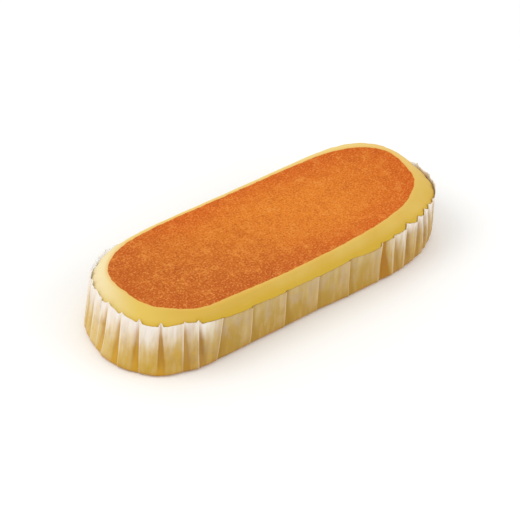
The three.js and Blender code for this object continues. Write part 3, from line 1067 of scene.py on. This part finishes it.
def spongeMaterial():
    material, w, shader = newMaterial("bananaSponge")
    look = spongeLook
    spot = w.node("ShaderNodeTexCoord").outputs["Object"]
    x, y, z = w.parts(spot)
    v = {"x": x, "y": y, "browned": attribute(w, "browned"), "below": attribute(w, "below")}

    def around(name, weight):
        return w.times(w.minus(v[name], 0.5), look[weight])

    for name in ("ragged", "cloud", "mottle", "grain", "soft"):
        v[name] = w.noise(spot, *look[name])
    for name in ("lightDots", "darkDots"):
        scale, radius, share = look[name]
        cells = w.node("ShaderNodeTexVoronoi")
        w.feed(cells.inputs["Vector"], spot)
        cells.inputs["Scale"].default_value = scale
        picked = w.ease(w.parts(cells.outputs["Color"])[0], 1.0 - share, 1.0 - share + 0.05)
        v[name] = w.times(w.ease(cells.outputs["Distance"], radius, radius * 0.4), picked)

    crust = w.ease(w.plus(v["browned"], around("ragged", "edgeRagged")), *look["edgeSpan"])
    v["inwards"] = w.ease(w.plus(v["browned"], around("cloud", "inwardsCloud")), *look["inwardsSpan"])
    nearLeft = w.plus(w.times(x, look["nearLeftX"]), w.times(y, look["nearLeftY"]),
                      around("cloud", "nearLeftCloud"))
    v["rough"] = w.ease(nearLeft, *look["nearLeftSpan"])
    v["strength"] = w.times(w.ease(v["rough"], 0.0, 1.0, *look["strengthRough"]),
                            w.ease(x, *look["strengthX"]))
    golden = w.laid(w.tone(v, look["topTones"]), v, look["topLayers"])

    farLeft = w.plus(w.times(x, look["farLeftX"]), w.times(y, look["farLeftY"]))
    v["farLeft"] = w.ease(farLeft, *look["farLeftSpan"])
    v["low"] = w.ease(w.plus(v["below"], around("soft", "lowSoft")), *look["lowSpan"])
    v["softened"] = w.ease(v["soft"], 0.3, 0.7)
    pale = w.laid(w.tone(v, look["shoulderTones"]), v, look["shoulderLayers"])

    w.feed(shader.inputs["Base Color"], w.mix(crust, pale, golden))
    w.feed(shader.inputs["Roughness"], w.ease(crust, 0.0, 1.0, *look["roughness"]))
    shader.inputs["Specular IOR Level"].default_value = look["specular"]
    onCrust = w.ease(crust, 0.0, 1.0, *look["bumpOnCrust"])
    addBump(w, shader, look, w.times(w.plus(v["grain"], v["mottle"]), onCrust))
    return material


studio = {
    "worldStrength": 0.82,
    "keyPower": 2.8,
    "keySize": 0.6,
    "keyFrom": (-0.60, 0.22, 0.80),
    "fillPower": 1.5,
    "fillSize": 0.6,
    "fillFrom": (0.45, -0.65, 0.55),
    "floorHalf": 3.0,
    "floorTone": "fdfdfc",
    "floorRoughness": 0.9,
}


def addLight(name, power, size, place):
    data = bpy.data.lights.new(name, "AREA")
    data.energy = power
    data.size = size
    light = bpy.data.objects.new(name, data)
    towards = -Matrix.Translation(place).translation
    light.location = place
    light.rotation_mode = "QUATERNION"
    light.rotation_quaternion = towards.to_track_quat("-Z", "Y")
    bpy.context.scene.collection.objects.link(light)


def makeStage():
    half = studio["floorHalf"]
    mesh = bpy.data.meshes.new("paleFloor")
    corners = [(-half, -half, 0), (half, -half, 0), (half, half, 0), (-half, half, 0)]
    mesh.from_pydata(corners, [], [(0, 1, 2, 3)])
    material, w, shader = newMaterial("paleFloor")
    shader.inputs["Base Color"].default_value = colour(studio["floorTone"])
    shader.inputs["Roughness"].default_value = studio["floorRoughness"]
    mesh.materials.append(material)
    addObject("paleFloor", mesh)
    world = bpy.data.worlds.new("studio")
    world.use_nodes = True
    world.node_tree.nodes["Background"].inputs[0].default_value = (1, 1, 1, 1)
    world.node_tree.nodes["Background"].inputs[1].default_value = studio["worldStrength"]
    bpy.context.scene.world = world
    addLight("keyLight", studio["keyPower"], studio["keySize"], studio["keyFrom"])
    addLight("fillLight", studio["fillPower"], studio["fillSize"], studio["fillFrom"])
    bpy.context.scene.view_settings.view_transform = "Standard"


viewpoint = {
    "azimuth": -43.4,
    "elevation": 38.66,
    "roll": 5.31,
    "distance": 728.6,
    "target": (-7.3, -5.1, 15.0),
    "focalPixels": 2000.0,
    "imagePixels": 520.0,
    "sensor": 36.0,
}


def makeCamera():
    a, e, r = (math.radians(viewpoint[k]) for k in ("azimuth", "elevation", "roll"))
    back = np.array([math.sin(a) * math.cos(e), -math.cos(a) * math.cos(e), math.sin(e)])
    right = np.array([math.cos(a), math.sin(a), 0.0])
    up = np.cross(back, right)
    turnedRight = right * math.cos(r) + up * math.sin(r)
    turnedUp = up * math.cos(r) - right * math.sin(r)
    data = bpy.data.cameras.new("viewpoint")
    data.sensor_width = viewpoint["sensor"]
    data.lens = viewpoint["sensor"] * viewpoint["focalPixels"] / viewpoint["imagePixels"]
    camera = bpy.data.objects.new("viewpoint", data)
    place = (np.array(viewpoint["target"]) + back * viewpoint["distance"]) * mm
    columns = np.column_stack([turnedRight, turnedUp, back])
    camera.matrix_world = Matrix.Translation(place) @ Matrix(columns.tolist()).to_4x4()
    bpy.context.scene.collection.objects.link(camera)
    bpy.context.scene.camera = camera


makeStage()
makeCamera()
print("stage and camera made")

case, pressed = makePaperCase(paperMaterial())
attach(case, "root")
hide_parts("paper_case")
print("paper case made:", len(case.data.polygons), "faces")

cake = makeSponge(spongeMaterial(), pressed)
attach(cake, "root")
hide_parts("cake")
print("sponge made:", len(cake.data.polygons), "faces")
